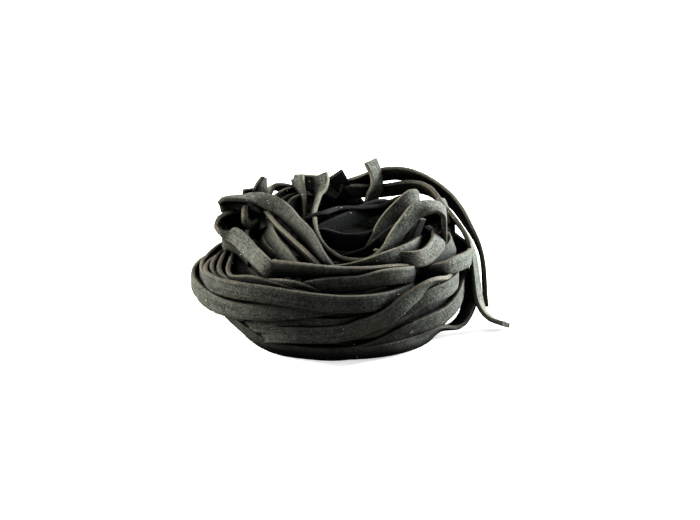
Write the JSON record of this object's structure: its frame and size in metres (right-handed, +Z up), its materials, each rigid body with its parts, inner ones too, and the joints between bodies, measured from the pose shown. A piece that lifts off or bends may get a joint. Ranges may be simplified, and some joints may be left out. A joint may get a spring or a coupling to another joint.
{
  "type": "dry pasta nest",
  "caption": "Nest of dry black ribbon pasta: flat ribbons wound into a ring with loops over the rim, an open hollow in the middle and two loose tails.",
  "frame": {"origin": "middle of the nest's outline, tails included, on the surface that it stands on", "axes": "+Z up, +X towards the side with the loose tails, -Y towards the front with the low rim"},
  "size_m": [0.079, 0.068, 0.0352],
  "materials": {
    "pasta": "matt, slightly floury"
  },
  "bodies": {
    "root": {"pasta_nest": "pasta"}
  },
  "joints": []
}
